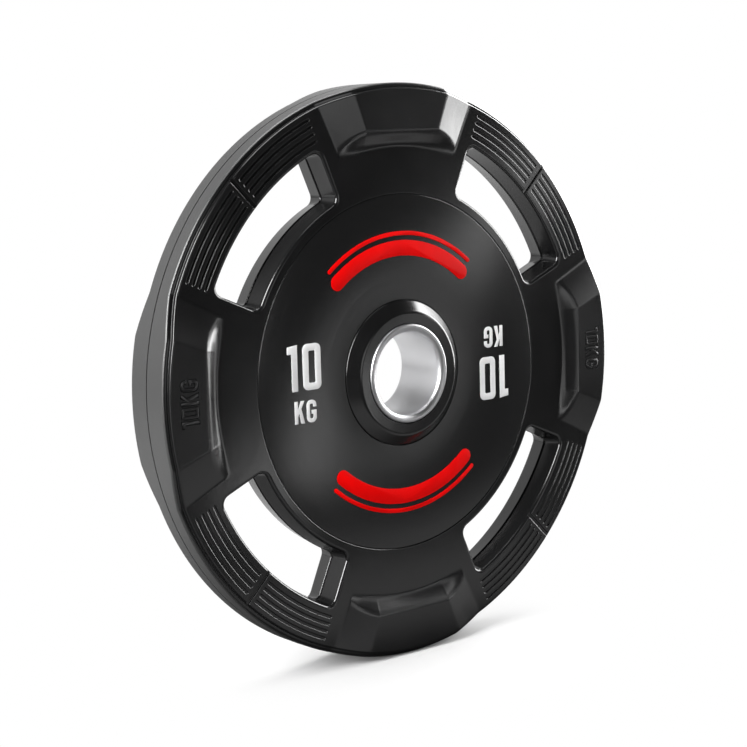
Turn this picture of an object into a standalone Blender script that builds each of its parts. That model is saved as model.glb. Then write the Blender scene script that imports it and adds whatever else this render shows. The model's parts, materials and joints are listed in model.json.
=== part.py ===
"""Rubber weight plate with grip windows: iron core, steel bush, two rubber covers and printed faces.

The plate stands on its rim. Its axis runs along Y, the front face looks towards -Y, and the origin
is the centre of the bore on the plate's mid-plane. Every piece is first modelled lying flat, with
its front side up and heights counted from the mid-plane, and is then stood up by a side's matrix.
"""
import math

import bmesh
import bpy
from mathutils import Matrix, Vector

# Fit between neighbouring pieces
CLEARANCE = 0.0003
PRINT_GAP = 0.0001

# Steel bush in the middle
BORE_RADIUS = 0.0252
BUSH_WALL = 0.0031
LIP_REACH = 0.0054
LIP_THICKNESS = 0.0020
LIP_ROUND = 0.0014
FLARE_DEPTH = 0.0046
HUB_HALF_WIDTH = 0.0202

# Rubber collar round the bush
COLLAR_SINK = 0.0012
COLLAR_RING_WIDTH = 0.0071
COLLAR_SLOPE_WIDTH = 0.0069

# Rubber face, rim, and the shelf that runs round the rim below the face
FACE_HEIGHT = 0.0135
RIM_RADIUS = 0.1770
RIM_DRAFT = 0.0001
SHELF_DROP = 0.0026
SHELF_WIDTH = 0.0049
SHELF_ROUND = 0.0007
RIM_ROUND = 0.0020
SEAM_CHAMFER = 0.0004

# Raised pads at the top, bottom, left and right
PAD_COUNT = 4
PAD_RISE = 0.0060
PAD_FOOT_ANGLE = math.radians(20.3)
PAD_FOOT_TAPER = math.radians(1.2)
PAD_TOP_ANGLE = math.radians(12.1)
PAD_TOP_TAPER = math.radians(1.6)
PAD_DEPTH = 0.0247
PAD_INNER_SLOPE = 0.0072
PAD_CORNER = 0.0040

# Grip windows between the pads
WINDOW_COUNT = 4
GRIP_WIDTH = 0.0198
WINDOW_HALF_ANGLE = math.radians(20.8)
WINDOW_CORNER = 0.0037
WINDOW_DRAFT = 0.0016
WINDOW_ROUND = 0.0022
WINDOW_LINING = 0.0036
DISC_LAND = 0.0042

# Grooves and the notch on each grip
GROOVE_COUNT = 4
GROOVE_WIDTH = 0.0022
GROOVE_DEPTH = 0.0010
GROOVE_MARGIN = 0.0024
GROOVE_HALF_SPAN = math.radians(22.0)
NOTCH_WIDTH = 0.0024
NOTCH_DEPTH = 0.0008
NOTCH_LAND = 0.0040

# Face discs
DISC_RADIUS = 0.1098
DISC_THICKNESS = 0.0009

# Iron core inside the rubber
CORE_HALF_THICKNESS = 0.0077
CORE_RIM_SKIN = 0.0037
CORE_EDGE_CHAMFER = 0.0040
CORE_HUB_WIDTH = 0.0080
CORE_HUB_SLOPE = 0.0060
CORE_HUB_COVER = 0.0013

# Printed marks on the discs
PRINT_THICKNESS = 0.0003
NUMBER_HEIGHT = 0.0276
NUMBER_STROKE = 0.0042
ONE_WIDTH = 0.0072
ZERO_WIDTH = 0.0133
UNIT_HEIGHT = 0.0135
UNIT_STROKE = 0.0023
UNIT_WIDTH = 0.0072
UNIT_SPACING = 0.0016
NUMBER_SPACING = 0.0040
LINE_SPACING = 0.0059
NUMBER_INSET = 0.0336
NUMBER_TOP = 0.0250
STRIPE_INSET = 0.0328
STRIPE_WIDTH = 0.0095
FINE_STRIPE_WIDTH = 0.0026
STRIPE_SPACING = 0.0030
STRIPE_HALF_ANGLE = math.radians(40.0)

# Letter forms: heights are shares of the letter's height, limbs and corners shares of its stroke
ONE_FLAG_DROP = 0.03
ONE_FLAG_FOOT = 0.19
ZERO_CORNER = 0.85
ZERO_COUNTER_CORNER = 0.22
K_ELBOW = 0.32
K_CROTCH = 0.60
K_LIMB = 1.15
K_LEG_START = 0.22
K_LEG_END = 0.50
G_ROUNDNESS = 0.84
G_TIP = 0.68
G_BAR = 0.46

# Facets
TURN_STEPS = 56
BUSH_STEPS = 40
FLARE_STEPS = 3
ROUND_STEPS = 2
CORNER_STEPS = 3
ARC_STEPS = 7
GROOVE_STEPS = 4
SLOT_END_STEPS = 2
STRIPE_STEPS = 9

# Sizes that follow from the ones above
BUSH_RADIUS = BORE_RADIUS + BUSH_WALL
LIP_RADIUS = BORE_RADIUS + LIP_REACH
LIP_UNDERSIDE = HUB_HALF_WIDTH - LIP_THICKNESS
SEAT_RADIUS = LIP_RADIUS + CLEARANCE
SEAT_HEIGHT = LIP_UNDERSIDE - CLEARANCE
COLLAR_HEIGHT = HUB_HALF_WIDTH - COLLAR_SINK
COLLAR_TOP_RADIUS = SEAT_RADIUS + COLLAR_RING_WIDTH
COLLAR_FOOT_RADIUS = COLLAR_TOP_RADIUS + COLLAR_SLOPE_WIDTH
DISC_SEAT_RADIUS = DISC_RADIUS + CLEARANCE
DISC_SEAT_HEIGHT = FACE_HEIGHT - DISC_THICKNESS - CLEARANCE
STEP_RADIUS = RIM_RADIUS - RIM_DRAFT - SHELF_WIDTH
WINDOW_FLARE = WINDOW_DRAFT + WINDOW_ROUND
WINDOW_INNER_RADIUS = DISC_SEAT_RADIUS + DISC_LAND + WINDOW_FLARE
WINDOW_OUTER_RADIUS = STEP_RADIUS - GRIP_WIDTH - WINDOW_FLARE
PAD_TOP_RADIUS = STEP_RADIUS - PAD_DEPTH
PAD_FOOT_RADIUS = PAD_TOP_RADIUS - PAD_INNER_SLOPE
PAD_HEIGHT = FACE_HEIGHT + PAD_RISE
PRINT_HEIGHT = FACE_HEIGHT + PRINT_GAP
NUMBER_RADIUS = DISC_RADIUS - NUMBER_INSET
STRIPE_RADIUS = DISC_RADIUS - STRIPE_INSET
CORE_BORE_RADIUS = BUSH_RADIUS + CLEARANCE
CORE_RADIUS = RIM_RADIUS - CORE_RIM_SKIN
CORE_HUB_HEIGHT = SEAT_HEIGHT - CORE_HUB_COVER - CLEARANCE

# Flat pieces are stood up with their upper side towards the front or the rear
STAND = Matrix.Rotation(math.pi / 2, 4, "X")
SIDES = {"front": STAND, "rear": Matrix.Rotation(math.pi, 4, "Z") @ STAND}

# How far the cutters reach past the solids, and how far a window's last round section runs on
OVERSHOOT = 0.0040
ROUND_RUN_ON = 1.25

MERGE_DISTANCE = 0.000005
SHARP_ANGLE = math.radians(28.0)
MITRE_LIMIT = math.cos(math.radians(60.0))


def clear_scene():
    for old in list(bpy.data.objects):
        bpy.data.objects.remove(old)


def collection(name):
    group = bpy.data.collections.new(name)
    bpy.context.scene.collection.children.link(group)
    return group


def finish(name, colour, roughness, metallic=0.0):
    material = bpy.data.materials.new(name)
    material.use_nodes = True
    shader = material.node_tree.nodes["Principled BSDF"]
    shader.inputs["Base Color"].default_value = (*colour, 1.0)
    shader.inputs["Roughness"].default_value = roughness
    shader.inputs["Metallic"].default_value = metallic
    return material


def polar(radius, angle):
    return Vector((radius * math.cos(angle), radius * math.sin(angle)))


def arc(centre, radius, start, end, steps):
    """Points along an arc, both ends included."""
    turn = (end - start) / steps
    return [centre + polar(radius, start + turn * i) for i in range(steps + 1)]


def add_object(name, mesh, group, material=None):
    piece = bpy.data.objects.new(name, mesh)
    group.objects.link(piece)
    if material:
        mesh.materials.clear()
        mesh.materials.append(material)
        mesh.shade_smooth()
        mesh.set_sharp_from_angle(angle=SHARP_ANGLE)
    else:
        piece.hide_render = True
        piece.display_type = "WIRE"
    return piece


def evaluated_mesh(piece):
    """The piece's mesh after its modifiers, with the piece itself taken away."""
    depsgraph = bpy.context.evaluated_depsgraph_get()
    mesh = bpy.data.meshes.new_from_object(piece.evaluated_get(depsgraph))
    bpy.data.objects.remove(piece)
    return mesh


def turned_mesh(profile, steps=TURN_STEPS):
    """Turns a closed profile of (radius, height) points round the upright axis."""
    mesh = bpy.data.meshes.new("profile")
    bm = bmesh.new()
    corners = [bm.verts.new((radius, 0.0, height)) for radius, height in profile]
    for i, corner in enumerate(corners):
        bm.edges.new((corner, corners[(i + 1) % len(corners)]))
    bm.to_mesh(mesh)
    bm.free()
    piece = bpy.data.objects.new("profile", mesh)
    bpy.context.scene.collection.objects.link(piece)
    screw = piece.modifiers.new("Turn", "SCREW")
    screw.axis = "Z"
    screw.angle = math.tau
    screw.steps = steps
    screw.render_steps = steps
    screw.use_merge_vertices = True
    screw.merge_threshold = MERGE_DISTANCE
    return evaluated_mesh(piece)


def lofted_mesh(stacks):
    """Joins each stack of level outlines, given as (points, height), into one closed body."""
    mesh = bpy.data.meshes.new("loft")
    bm = bmesh.new()
    for stack in stacks:
        loops = []
        for points, height in stack:
            ring = [bm.verts.new((point.x, point.y, height)) for point in points]
            loops.append([bm.edges.new((ring[i - 1], ring[i])) for i in range(len(ring))])
        for lower, upper in zip(loops, loops[1:]):
            bmesh.ops.bridge_loops(bm, edges=lower + upper)
        for end in (loops[0], loops[-1]):
            bmesh.ops.contextual_create(bm, geom=end)
    bmesh.ops.recalc_face_normals(bm, faces=bm.faces)
    bm.to_mesh(mesh)
    bm.free()
    return mesh


def flat_mesh(outlines, bottom, thickness):
    """Fills flat outlines, later ones being holes in the first, and gives them a thickness."""
    curve = bpy.data.curves.new("outline", "CURVE")
    curve.dimensions = "2D"
    curve.fill_mode = "BOTH"
    curve.extrude = thickness / 2
    for points in outlines:
        spline = curve.splines.new("POLY")
        spline.points.add(len(points) - 1)
        for spot, point in zip(spline.points, points):
            spot.co = (point.x, point.y, 0.0, 1.0)
        spline.use_cyclic_u = True
    piece = bpy.data.objects.new("outline", curve)
    bpy.context.scene.collection.objects.link(piece)
    mesh = evaluated_mesh(piece)
    bpy.data.curves.remove(curve)
    bm = bmesh.new()
    bm.from_mesh(mesh)
    bmesh.ops.remove_doubles(bm, verts=bm.verts, dist=MERGE_DISTANCE)
    bmesh.ops.recalc_face_normals(bm, faces=bm.faces)
    bm.to_mesh(mesh)
    bm.free()
    mesh.transform(Matrix.Translation((0.0, 0.0, bottom + thickness / 2)))
    return mesh


def combine(piece, other, operation):
    boolean = piece.modifiers.new(operation.title(), "BOOLEAN")
    boolean.operation = operation
    boolean.solver = "EXACT"
    boolean.object = other


# Outlines

def slot_outline(radius, half_width, start, end, steps):
    """A slot along an arc round the plate's centre, with round ends."""
    outer = arc(Vector((0.0, 0.0)), radius + half_width, start, end, steps)
    far_end = arc(polar(radius, end), half_width, end, end + math.pi, SLOT_END_STEPS)
    inner = arc(Vector((0.0, 0.0)), radius - half_width, end, start, steps)
    near_end = arc(polar(radius, start), half_width, start + math.pi, start + math.tau, SLOT_END_STEPS)
    return outer + far_end[1:-1] + inner + near_end[1:-1]


def window_outline(direction, spread):
    """A grip window with round corners; spread widens it evenly on all sides."""
    inner = WINDOW_INNER_RADIUS - spread
    outer = WINDOW_OUTER_RADIUS + spread
    half = WINDOW_HALF_ANGLE + 2 * spread / (inner + outer)
    corner = WINDOW_CORNER + spread
    outer_turn = half - math.asin(corner / (outer - corner))
    inner_turn = half - math.asin(corner / (inner + corner))
    centre = Vector((0.0, 0.0))
    quarter = math.pi / 2
    points = arc(centre, outer, -outer_turn, outer_turn, ARC_STEPS)
    points += arc(polar(outer - corner, outer_turn), corner, outer_turn, half + quarter, CORNER_STEPS)[1:]
    points += arc(polar(inner + corner, inner_turn), corner, half + quarter, inner_turn + math.pi,
                  CORNER_STEPS)
    points += arc(centre, inner, inner_turn, -inner_turn, ARC_STEPS)[1:]
    points += arc(polar(inner + corner, -inner_turn), corner, math.pi - inner_turn, 3 * quarter - half,
                  CORNER_STEPS)[1:]
    points += arc(polar(outer - corner, -outer_turn), corner, -quarter - half, -outer_turn,
                  CORNER_STEPS)[:-1]
    spin = Matrix.Rotation(direction, 2)
    return [spin @ point for point in points]


def rounded_box(left, bottom, width, height, corner):
    spots = ((width - corner, corner, -math.pi / 2), (width - corner, height - corner, 0.0),
             (corner, height - corner, math.pi / 2), (corner, corner, math.pi))
    points = []
    for x, y, start in spots:
        centre = Vector((left + x, bottom + y))
        points += arc(centre, corner, start, start + math.pi / 2, CORNER_STEPS)
    return points


def stroked(path, width):
    """The outline of a pen stroke of even width along a path."""
    sides = ([], [])
    for i, spot in enumerate(path):
        before = (spot - path[i - 1]).normalized() if i else None
        after = (path[i + 1] - spot).normalized() if i + 1 < len(path) else None
        along = ((before or after) + (after or before)).normalized()
        reach = width / 2 / max(along.dot(before or after), MITRE_LIMIT)
        across = Vector((-along.y, along.x)) * reach
        sides[0].append(spot + across)
        sides[1].append(spot - across)
    return sides[0] + sides[1][::-1]


def one_shape(width, height, stroke):
    left = width - stroke
    foot = height * (1.0 - ONE_FLAG_FOOT)
    spots = ((left, 0.0), (width, 0.0), (width, height), (0.0, height * (1.0 - ONE_FLAG_DROP)),
             (0.0, foot), (left, foot))
    return [[Vector(spot) for spot in spots]]


def zero_shape(width, height, stroke):
    outer = rounded_box(0.0, 0.0, width, height, ZERO_CORNER * stroke)
    inner = rounded_box(stroke, stroke, width - 2 * stroke, height - 2 * stroke,
                        ZERO_COUNTER_CORNER * stroke)
    return [outer, inner]


def k_shape(width, height, stroke):
    """A stem, an arm from its lower third up to the top right, and a leg that leaves the arm."""
    elbow = Vector((stroke, K_ELBOW * height))
    arm = Vector((width, height)) - elbow
    limb = K_LIMB * stroke
    return [[Vector((0.0, 0.0)), Vector((stroke, 0.0)), elbow, elbow + K_LEG_START * arm,
             Vector((width - limb, 0.0)), Vector((width, 0.0)), elbow + K_LEG_END * arm,
             Vector((width, height)), Vector((width - limb, height)), Vector((stroke, K_CROTCH * height)),
             Vector((stroke, height)), Vector((0.0, height))]]


def g_shape(width, height, stroke):
    left = stroke / 2
    right = width - stroke / 2
    low = stroke / 2
    high = height - stroke / 2
    bend = (right - left) * G_ROUNDNESS / 2
    quarter = math.pi / 2
    path = [Vector((right, G_TIP * height))]
    path += arc(Vector((right - bend, high - bend)), bend, 0.0, quarter, CORNER_STEPS)
    path += arc(Vector((left + bend, high - bend)), bend, quarter, math.pi, CORNER_STEPS)
    path += arc(Vector((left + bend, low + bend)), bend, math.pi, 3 * quarter, CORNER_STEPS)
    path += arc(Vector((right - bend, low + bend)), bend, 3 * quarter, math.tau, CORNER_STEPS)
    path += [Vector((right, G_BAR * height)), Vector((width / 2, G_BAR * height))]
    return [stroked(path, stroke)]


def moved(shape, spin, place):
    turn = Matrix.Rotation(spin, 2)
    return [[turn @ point + place for point in outline] for outline in shape]


# Turned profiles, each running outwards over the top and down the outer side

def rounded_edge(radius, height, size, steps):
    """An outer edge at (radius, height), rounded from its upper side round to its outer side."""
    turns = [math.pi / 2 * (1 - i / steps) for i in range(steps + 1)]
    return [(radius - size + size * math.cos(turn), height - size + size * math.sin(turn)) for turn in turns]


def bush_profile():
    crest = LIP_RADIUS - LIP_ROUND
    flare_foot = HUB_HALF_WIDTH - FLARE_DEPTH
    flare = []
    for i in range(FLARE_STEPS + 1):
        turn = math.pi / 2 * i / FLARE_STEPS
        radius = crest - (crest - BORE_RADIUS) * math.cos(turn)
        flare.append((radius, flare_foot + FLARE_DEPTH * math.sin(turn)))
    roll = rounded_edge(LIP_RADIUS, HUB_HALF_WIDTH, LIP_ROUND, FLARE_STEPS)[1:]
    upper = flare + roll + [(LIP_RADIUS, LIP_UNDERSIDE), (BUSH_RADIUS, LIP_UNDERSIDE)]
    return upper + [(radius, -height) for radius, height in reversed(upper)]


def cover_profile():
    seam = CLEARANCE / 2
    shelf = FACE_HEIGHT - SHELF_DROP
    shelf_foot = STEP_RADIUS + SHELF_ROUND
    profile = [(CORE_BORE_RADIUS, SEAT_HEIGHT), (SEAT_RADIUS, SEAT_HEIGHT), (SEAT_RADIUS, COLLAR_HEIGHT),
               (COLLAR_TOP_RADIUS, COLLAR_HEIGHT), (COLLAR_FOOT_RADIUS, FACE_HEIGHT),
               (COLLAR_FOOT_RADIUS, DISC_SEAT_HEIGHT), (DISC_SEAT_RADIUS, DISC_SEAT_HEIGHT),
               (DISC_SEAT_RADIUS, FACE_HEIGHT), (PAD_FOOT_RADIUS, FACE_HEIGHT), (PAD_TOP_RADIUS, FACE_HEIGHT)]
    profile += rounded_edge(STEP_RADIUS, FACE_HEIGHT, SHELF_ROUND, 1)
    profile += [(STEP_RADIUS, shelf + SHELF_ROUND), (shelf_foot, shelf)]
    profile += rounded_edge(RIM_RADIUS - RIM_DRAFT, shelf, RIM_ROUND, ROUND_STEPS)
    profile += [(RIM_RADIUS, seam + SEAM_CHAMFER), (RIM_RADIUS - SEAM_CHAMFER, seam)]
    profile.append((CORE_BORE_RADIUS, seam))
    return profile


def disc_profile():
    bottom = DISC_SEAT_HEIGHT + CLEARANCE
    inner = COLLAR_FOOT_RADIUS + CLEARANCE
    return [(inner, bottom), (inner, FACE_HEIGHT), (DISC_RADIUS, FACE_HEIGHT), (DISC_RADIUS, bottom)]


def core_mesh(grow):
    """The turned core, set half a facet round so that its edges cross none of the covers'."""
    mesh = turned_mesh(core_profile(grow))
    mesh.transform(STAND @ Matrix.Rotation(math.pi / TURN_STEPS, 4, "Z"))
    return mesh


def core_profile(grow):
    """The core's section; grow gives the same section with a gap round it."""
    bore = CORE_BORE_RADIUS - (OVERSHOOT if grow else 0.0)
    hub = CORE_BORE_RADIUS + CORE_HUB_WIDTH + grow
    top = CORE_HALF_THICKNESS + grow
    rim = CORE_RADIUS + grow
    upper = [(bore, CORE_HUB_HEIGHT + grow), (hub, CORE_HUB_HEIGHT + grow), (hub + CORE_HUB_SLOPE, top),
             (rim - CORE_EDGE_CHAMFER, top), (rim, top - CORE_EDGE_CHAMFER)]
    return upper + [(radius, -height) for radius, height in reversed(upper)]


# Pads: columns of the turned cover are shifted onto the pads' creases and lifted

def pad_half_angles(radius):
    """Half angles of the flat top and of the foot, which both narrow towards the hub."""
    share = min(max((STEP_RADIUS - radius) / PAD_DEPTH, 0.0), 1.0)
    return PAD_TOP_ANGLE - PAD_TOP_TAPER * share, PAD_FOOT_ANGLE - PAD_FOOT_TAPER * share


def shape_pads(mesh):
    """Lifts the pads: their foot is an arc round the plate's centre, the top's inner edge is straight."""
    step = math.tau / TURN_STEPS
    pitch = math.tau / PAD_COUNT
    foot = max(round(PAD_FOOT_ANGLE / step), 2)
    crest = max(round(PAD_TOP_ANGLE / step), 1)
    for vertex in mesh.vertices:
        flat = Vector((vertex.co.x, vertex.co.y))
        radius = flat.length
        if radius < (DISC_SEAT_RADIUS + PAD_FOOT_RADIUS) / 2:
            continue
        angle = math.atan2(flat.y, flat.x)
        pad = round(angle / pitch) * pitch
        column = round((angle - pad) / step)
        count = abs(column)
        if count > foot:
            continue
        top_half, foot_half = pad_half_angles(radius)
        slide = max(count - crest, 0) / (foot - crest)
        offset = top_half * min(count / crest, 1.0) + (foot_half - top_half) * slide
        lift = 1.0 - slide
        on_face = vertex.co.z > DISC_SEAT_HEIGHT
        if on_face and radius < (PAD_FOOT_RADIUS + PAD_TOP_RADIUS) / 2:
            lift = 0.0
        elif on_face and radius < (PAD_TOP_RADIUS + STEP_RADIUS) / 2:
            radius = PAD_TOP_RADIUS / math.cos(offset) * lift + (PAD_FOOT_RADIUS + PAD_CORNER) * slide
        vertex.co.xy = polar(radius, pad + math.copysign(offset, column))
        if vertex.co.z > CORE_HALF_THICKNESS / 2:
            vertex.co.z += PAD_RISE * lift


# Cutters

def window_levels(direction):
    """Outlines from below the seam up the wall and round its upper edge, past the face."""
    wall_top = FACE_HEIGHT - WINDOW_ROUND
    sections = [(0.0, -OVERSHOOT), (0.0, 0.0)]
    for i in range(ROUND_STEPS):
        turn = math.pi / 2 * i / ROUND_STEPS
        sections.append((WINDOW_DRAFT + WINDOW_ROUND * (1 - math.cos(turn)),
                         wall_top + WINDOW_ROUND * math.sin(turn)))
    spread, height = sections[-1]
    sections.append((spread + ROUND_RUN_ON * (WINDOW_FLARE - spread),
                     height + ROUND_RUN_ON * (FACE_HEIGHT - height)))
    sections.append((sections[-1][0], PAD_HEIGHT + OVERSHOOT))
    return [(window_outline(direction, spread), height) for spread, height in sections]


def window_directions():
    return [math.tau / WINDOW_COUNT * (i + 0.5) for i in range(WINDOW_COUNT)]


def core_window_levels(grow):
    """Straight windows through the core, wider than the rubber's by its lining."""
    reach = CORE_HUB_HEIGHT + OVERSHOOT
    stacks = []
    for direction in window_directions():
        outline = window_outline(direction, WINDOW_LINING - grow)
        stacks.append([(outline, -reach), (outline, reach)])
    return stacks


def groove_levels():
    bottom = FACE_HEIGHT - GROOVE_DEPTH
    top = FACE_HEIGHT + OVERSHOOT
    first = WINDOW_OUTER_RADIUS + WINDOW_FLARE + GROOVE_MARGIN
    last = STEP_RADIUS - SHELF_ROUND - GROOVE_MARGIN
    stacks = []
    for direction in window_directions():
        for i in range(GROOVE_COUNT):
            radius = first + (last - first) * i / max(GROOVE_COUNT - 1, 1)
            round_end = GROOVE_WIDTH / 2 / radius
            near = (NOTCH_WIDTH / 2 + NOTCH_LAND / 2) / radius + round_end
            far = GROOVE_HALF_SPAN - round_end
            for start, end in ((near, far), (-far, -near)):
                outline = slot_outline(radius, GROOVE_WIDTH / 2, direction + start, direction + end,
                                       GROOVE_STEPS)
                stacks.append([(outline, bottom), (outline, top)])
        notch = [polar(WINDOW_OUTER_RADIUS, direction), polar(STEP_RADIUS - SHELF_ROUND, direction)]
        outline = stroked(notch, NOTCH_WIDTH)
        stacks.append([(outline, FACE_HEIGHT - NOTCH_DEPTH), (outline, top)])
    return stacks


# Pieces

def make_bush(parts):
    mesh = turned_mesh(bush_profile(), BUSH_STEPS)
    mesh.transform(STAND)
    add_object("steel_bush", mesh, parts, finish("rolled steel", (0.72, 0.72, 0.73), 0.22, 1.0))


def make_core(parts, cutters, iron):
    core = add_object("iron_core", core_mesh(0.0), parts, iron)
    holes = lofted_mesh(core_window_levels(0.0))
    holes.transform(STAND)
    combine(core, add_object("core_windows", holes, cutters), "DIFFERENCE")


def make_pocket(cutters):
    """The room that both covers leave for the core."""
    pocket = add_object("core_room", core_mesh(CLEARANCE), cutters)
    islands = lofted_mesh(core_window_levels(CLEARANCE))
    islands.transform(STAND)
    combine(pocket, add_object("core_room_windows", islands, cutters), "DIFFERENCE")
    return pocket


def make_cover(side, parts, cutters, pocket, rubber):
    stand = SIDES[side]
    mesh = turned_mesh(cover_profile())
    shape_pads(mesh)
    mesh.transform(stand)
    cover = add_object(side + "_cover", mesh, parts, rubber)
    windows = lofted_mesh([window_levels(direction) for direction in window_directions()])
    windows.transform(stand)
    combine(cover, add_object(side + "_windows", windows, cutters), "DIFFERENCE")
    combine(cover, pocket, "DIFFERENCE")
    grooves = lofted_mesh(groove_levels())
    grooves.transform(stand)
    combine(cover, add_object(side + "_grooves", grooves, cutters), "DIFFERENCE")


def make_disc(side, parts, black):
    mesh = turned_mesh(disc_profile())
    mesh.transform(SIDES[side])
    add_object(side + "_disc", mesh, parts, black)


def weight_layout():
    """The number with its unit below, as named shapes in the place of the left-hand mark."""
    number_width = ONE_WIDTH + NUMBER_SPACING + ZERO_WIDTH
    left = -NUMBER_RADIUS - number_width / 2
    base = NUMBER_TOP - NUMBER_HEIGHT
    unit_left = -NUMBER_RADIUS - UNIT_WIDTH - UNIT_SPACING / 2
    unit_base = base - LINE_SPACING - UNIT_HEIGHT
    return {
        "one": moved(one_shape(ONE_WIDTH, NUMBER_HEIGHT, NUMBER_STROKE), 0.0, Vector((left, base))),
        "zero": moved(zero_shape(ZERO_WIDTH, NUMBER_HEIGHT, NUMBER_STROKE), 0.0,
                      Vector((left + ONE_WIDTH + NUMBER_SPACING, base))),
        "k": moved(k_shape(UNIT_WIDTH, UNIT_HEIGHT, UNIT_STROKE), 0.0, Vector((unit_left, unit_base))),
        "g": moved(g_shape(UNIT_WIDTH, UNIT_HEIGHT, UNIT_STROKE), 0.0,
                   Vector((unit_left + UNIT_WIDTH + UNIT_SPACING, unit_base))),
    }


def make_prints(side, parts, white, red):
    for place, spin in (("left", 0.0), ("right", math.pi)):
        for name, shape in weight_layout().items():
            mesh = flat_mesh(moved(shape, spin, Vector((0.0, 0.0))), PRINT_HEIGHT, PRINT_THICKNESS)
            mesh.transform(SIDES[side])
            add_object(f"{side}_{place}_{name}", mesh, parts, white)
    fine_radius = STRIPE_RADIUS + STRIPE_WIDTH / 2 + STRIPE_SPACING + FINE_STRIPE_WIDTH / 2
    for place, direction in (("top", math.pi / 2), ("bottom", -math.pi / 2)):
        for name, radius, width in (("wide", STRIPE_RADIUS, STRIPE_WIDTH),
                                    ("fine", fine_radius, FINE_STRIPE_WIDTH)):
            outline = slot_outline(radius, width / 2, direction - STRIPE_HALF_ANGLE,
                                   direction + STRIPE_HALF_ANGLE, STRIPE_STEPS)
            mesh = flat_mesh([outline], PRINT_HEIGHT, PRINT_THICKNESS)
            mesh.transform(SIDES[side])
            add_object(f"{side}_{place}_{name}_stripe", mesh, parts, red)


def main():
    clear_scene()
    parts = collection("rubber weight plate")
    cutters = collection("cutters")
    rubber = finish("black rubber", (0.018, 0.018, 0.019), 0.52)
    black = finish("satin black disc", (0.022, 0.022, 0.023), 0.38)
    iron = finish("cast iron", (0.16, 0.15, 0.14), 0.62, 1.0)
    white = finish("white print", (0.80, 0.80, 0.81), 0.45)
    red = finish("red print", (0.80, 0.01, 0.01), 0.45)
    make_bush(parts)
    make_core(parts, cutters, iron)
    pocket = make_pocket(cutters)
    for side in SIDES:
        make_cover(side, parts, cutters, pocket, rubber)
        make_disc(side, parts, black)
        make_prints(side, parts, white, red)


main()
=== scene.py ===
# %% [markdown]
# # A rubber weight plate with grip windows
#
# The plate is a disc of cast iron in a thick rubber skin. A steel bush lines its bore, two thin
# black discs cover the middle of its faces, and white and red marks are printed on them. The packed
# CAD model is loaded first. It is the fixed frame: every piece made below has to stay inside its
# box, and stands for one of its nodes.

# %% Load the frame
import json
import math

import bmesh
import bpy
from mathutils import Matrix, Vector

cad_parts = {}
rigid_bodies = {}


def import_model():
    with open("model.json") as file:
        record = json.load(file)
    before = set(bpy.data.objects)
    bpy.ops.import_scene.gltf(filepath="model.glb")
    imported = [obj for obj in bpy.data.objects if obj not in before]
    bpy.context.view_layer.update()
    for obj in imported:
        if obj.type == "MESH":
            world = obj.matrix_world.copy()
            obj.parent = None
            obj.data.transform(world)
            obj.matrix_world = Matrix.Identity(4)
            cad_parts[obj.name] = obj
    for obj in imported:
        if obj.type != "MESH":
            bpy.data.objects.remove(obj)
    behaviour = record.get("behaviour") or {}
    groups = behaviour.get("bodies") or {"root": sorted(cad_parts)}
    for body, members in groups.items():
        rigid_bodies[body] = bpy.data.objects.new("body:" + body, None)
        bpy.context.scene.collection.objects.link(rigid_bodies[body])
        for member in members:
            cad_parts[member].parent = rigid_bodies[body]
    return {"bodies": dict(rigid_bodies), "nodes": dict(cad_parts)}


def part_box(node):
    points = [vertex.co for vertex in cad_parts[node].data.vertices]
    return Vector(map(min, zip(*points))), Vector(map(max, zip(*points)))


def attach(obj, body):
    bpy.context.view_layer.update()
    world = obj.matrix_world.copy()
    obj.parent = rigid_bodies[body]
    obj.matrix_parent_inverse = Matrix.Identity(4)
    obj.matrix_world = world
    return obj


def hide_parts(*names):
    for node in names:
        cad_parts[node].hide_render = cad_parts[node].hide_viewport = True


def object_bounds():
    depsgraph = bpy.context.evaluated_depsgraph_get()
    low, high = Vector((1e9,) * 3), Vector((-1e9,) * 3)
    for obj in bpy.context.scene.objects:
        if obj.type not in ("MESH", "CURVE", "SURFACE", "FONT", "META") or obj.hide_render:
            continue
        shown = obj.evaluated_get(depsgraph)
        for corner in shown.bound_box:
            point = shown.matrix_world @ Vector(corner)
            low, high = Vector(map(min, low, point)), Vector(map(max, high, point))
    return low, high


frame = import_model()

cad_objects = {*frame["nodes"].values(), *frame["bodies"].values()}
for old in list(bpy.data.objects):
    if old not in cad_objects:
        bpy.data.objects.remove(old)
cad_low, cad_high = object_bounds()
print("CAD box in mm:", [round(1000 * (b - a), 1) for a, b in zip(cad_low, cad_high)])

# %% [markdown]
# ## Sizes
#
# A model stays easy to change when each size is written once. The big sizes are read from the boxes
# of the CAD nodes, so that the new pieces fit them to the last micrometre. Sizes that no box shows
# are given above the piece that needs them. All lengths are in metres. The plate's axis runs along
# Y and its front looks towards -Y.

# %% Read the main sizes from the CAD nodes
bush_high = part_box("steel_bush")[1]
core_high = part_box("iron_core")[1]
cover_low, cover_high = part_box("front_cover")
disc_low, disc_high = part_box("front_disc")

HUB_HALF_WIDTH = bush_high.y
LIP_RADIUS = bush_high.x
RIM_RADIUS = cover_high.x
PAD_HEIGHT = -cover_low.y
SEAM_HEIGHT = -cover_high.y
FACE_HEIGHT = -disc_low.y
DISC_THICKNESS = disc_high.y - disc_low.y
DISC_RADIUS = disc_high.x
CORE_RADIUS = core_high.x
CORE_HUB_HEIGHT = core_high.y
CLEARANCE = 0.0003

print("rim radius %.1f mm, face height %.1f mm, disc radius %.1f mm"
      % (1000 * RIM_RADIUS, 1000 * FACE_HEIGHT, 1000 * DISC_RADIUS))

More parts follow.
